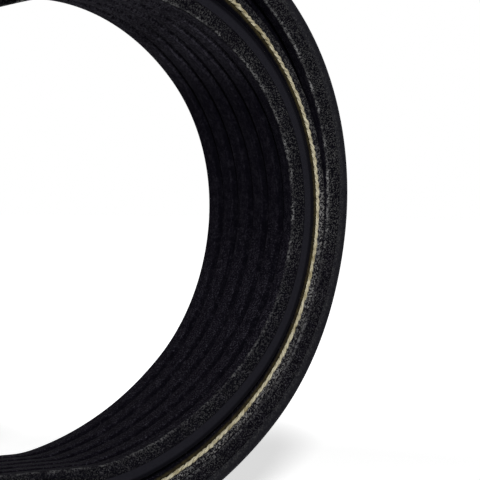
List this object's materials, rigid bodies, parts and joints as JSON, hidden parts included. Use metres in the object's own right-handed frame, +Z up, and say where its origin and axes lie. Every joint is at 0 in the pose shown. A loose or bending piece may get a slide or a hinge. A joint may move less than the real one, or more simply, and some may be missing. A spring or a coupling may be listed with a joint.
{
  "type": "serpentine belt",
  "caption": "Endless ribbed serpentine belt wound into a nested coil, standing on its rim, with a pale cord bare along one edge of the middle turn.",
  "frame": {"origin": "middle of the coil's footprint, on the surface that it stands on", "axes": "+X across the coil to the side that the picture shows, +Y along the coil's axis away from the picture's camera, +Z up"},
  "size_m": [0.124, 0.0652, 0.0982],
  "materials": {
    "rubber": "matt black moulded rubber with short pale fibres, worn pale along its edges",
    "cord": "cream twisted polyester cord"
  },
  "bodies": {
    "root": {"ribbed_belt": "rubber", "edge_cord": "cord"}
  },
  "joints": []
}
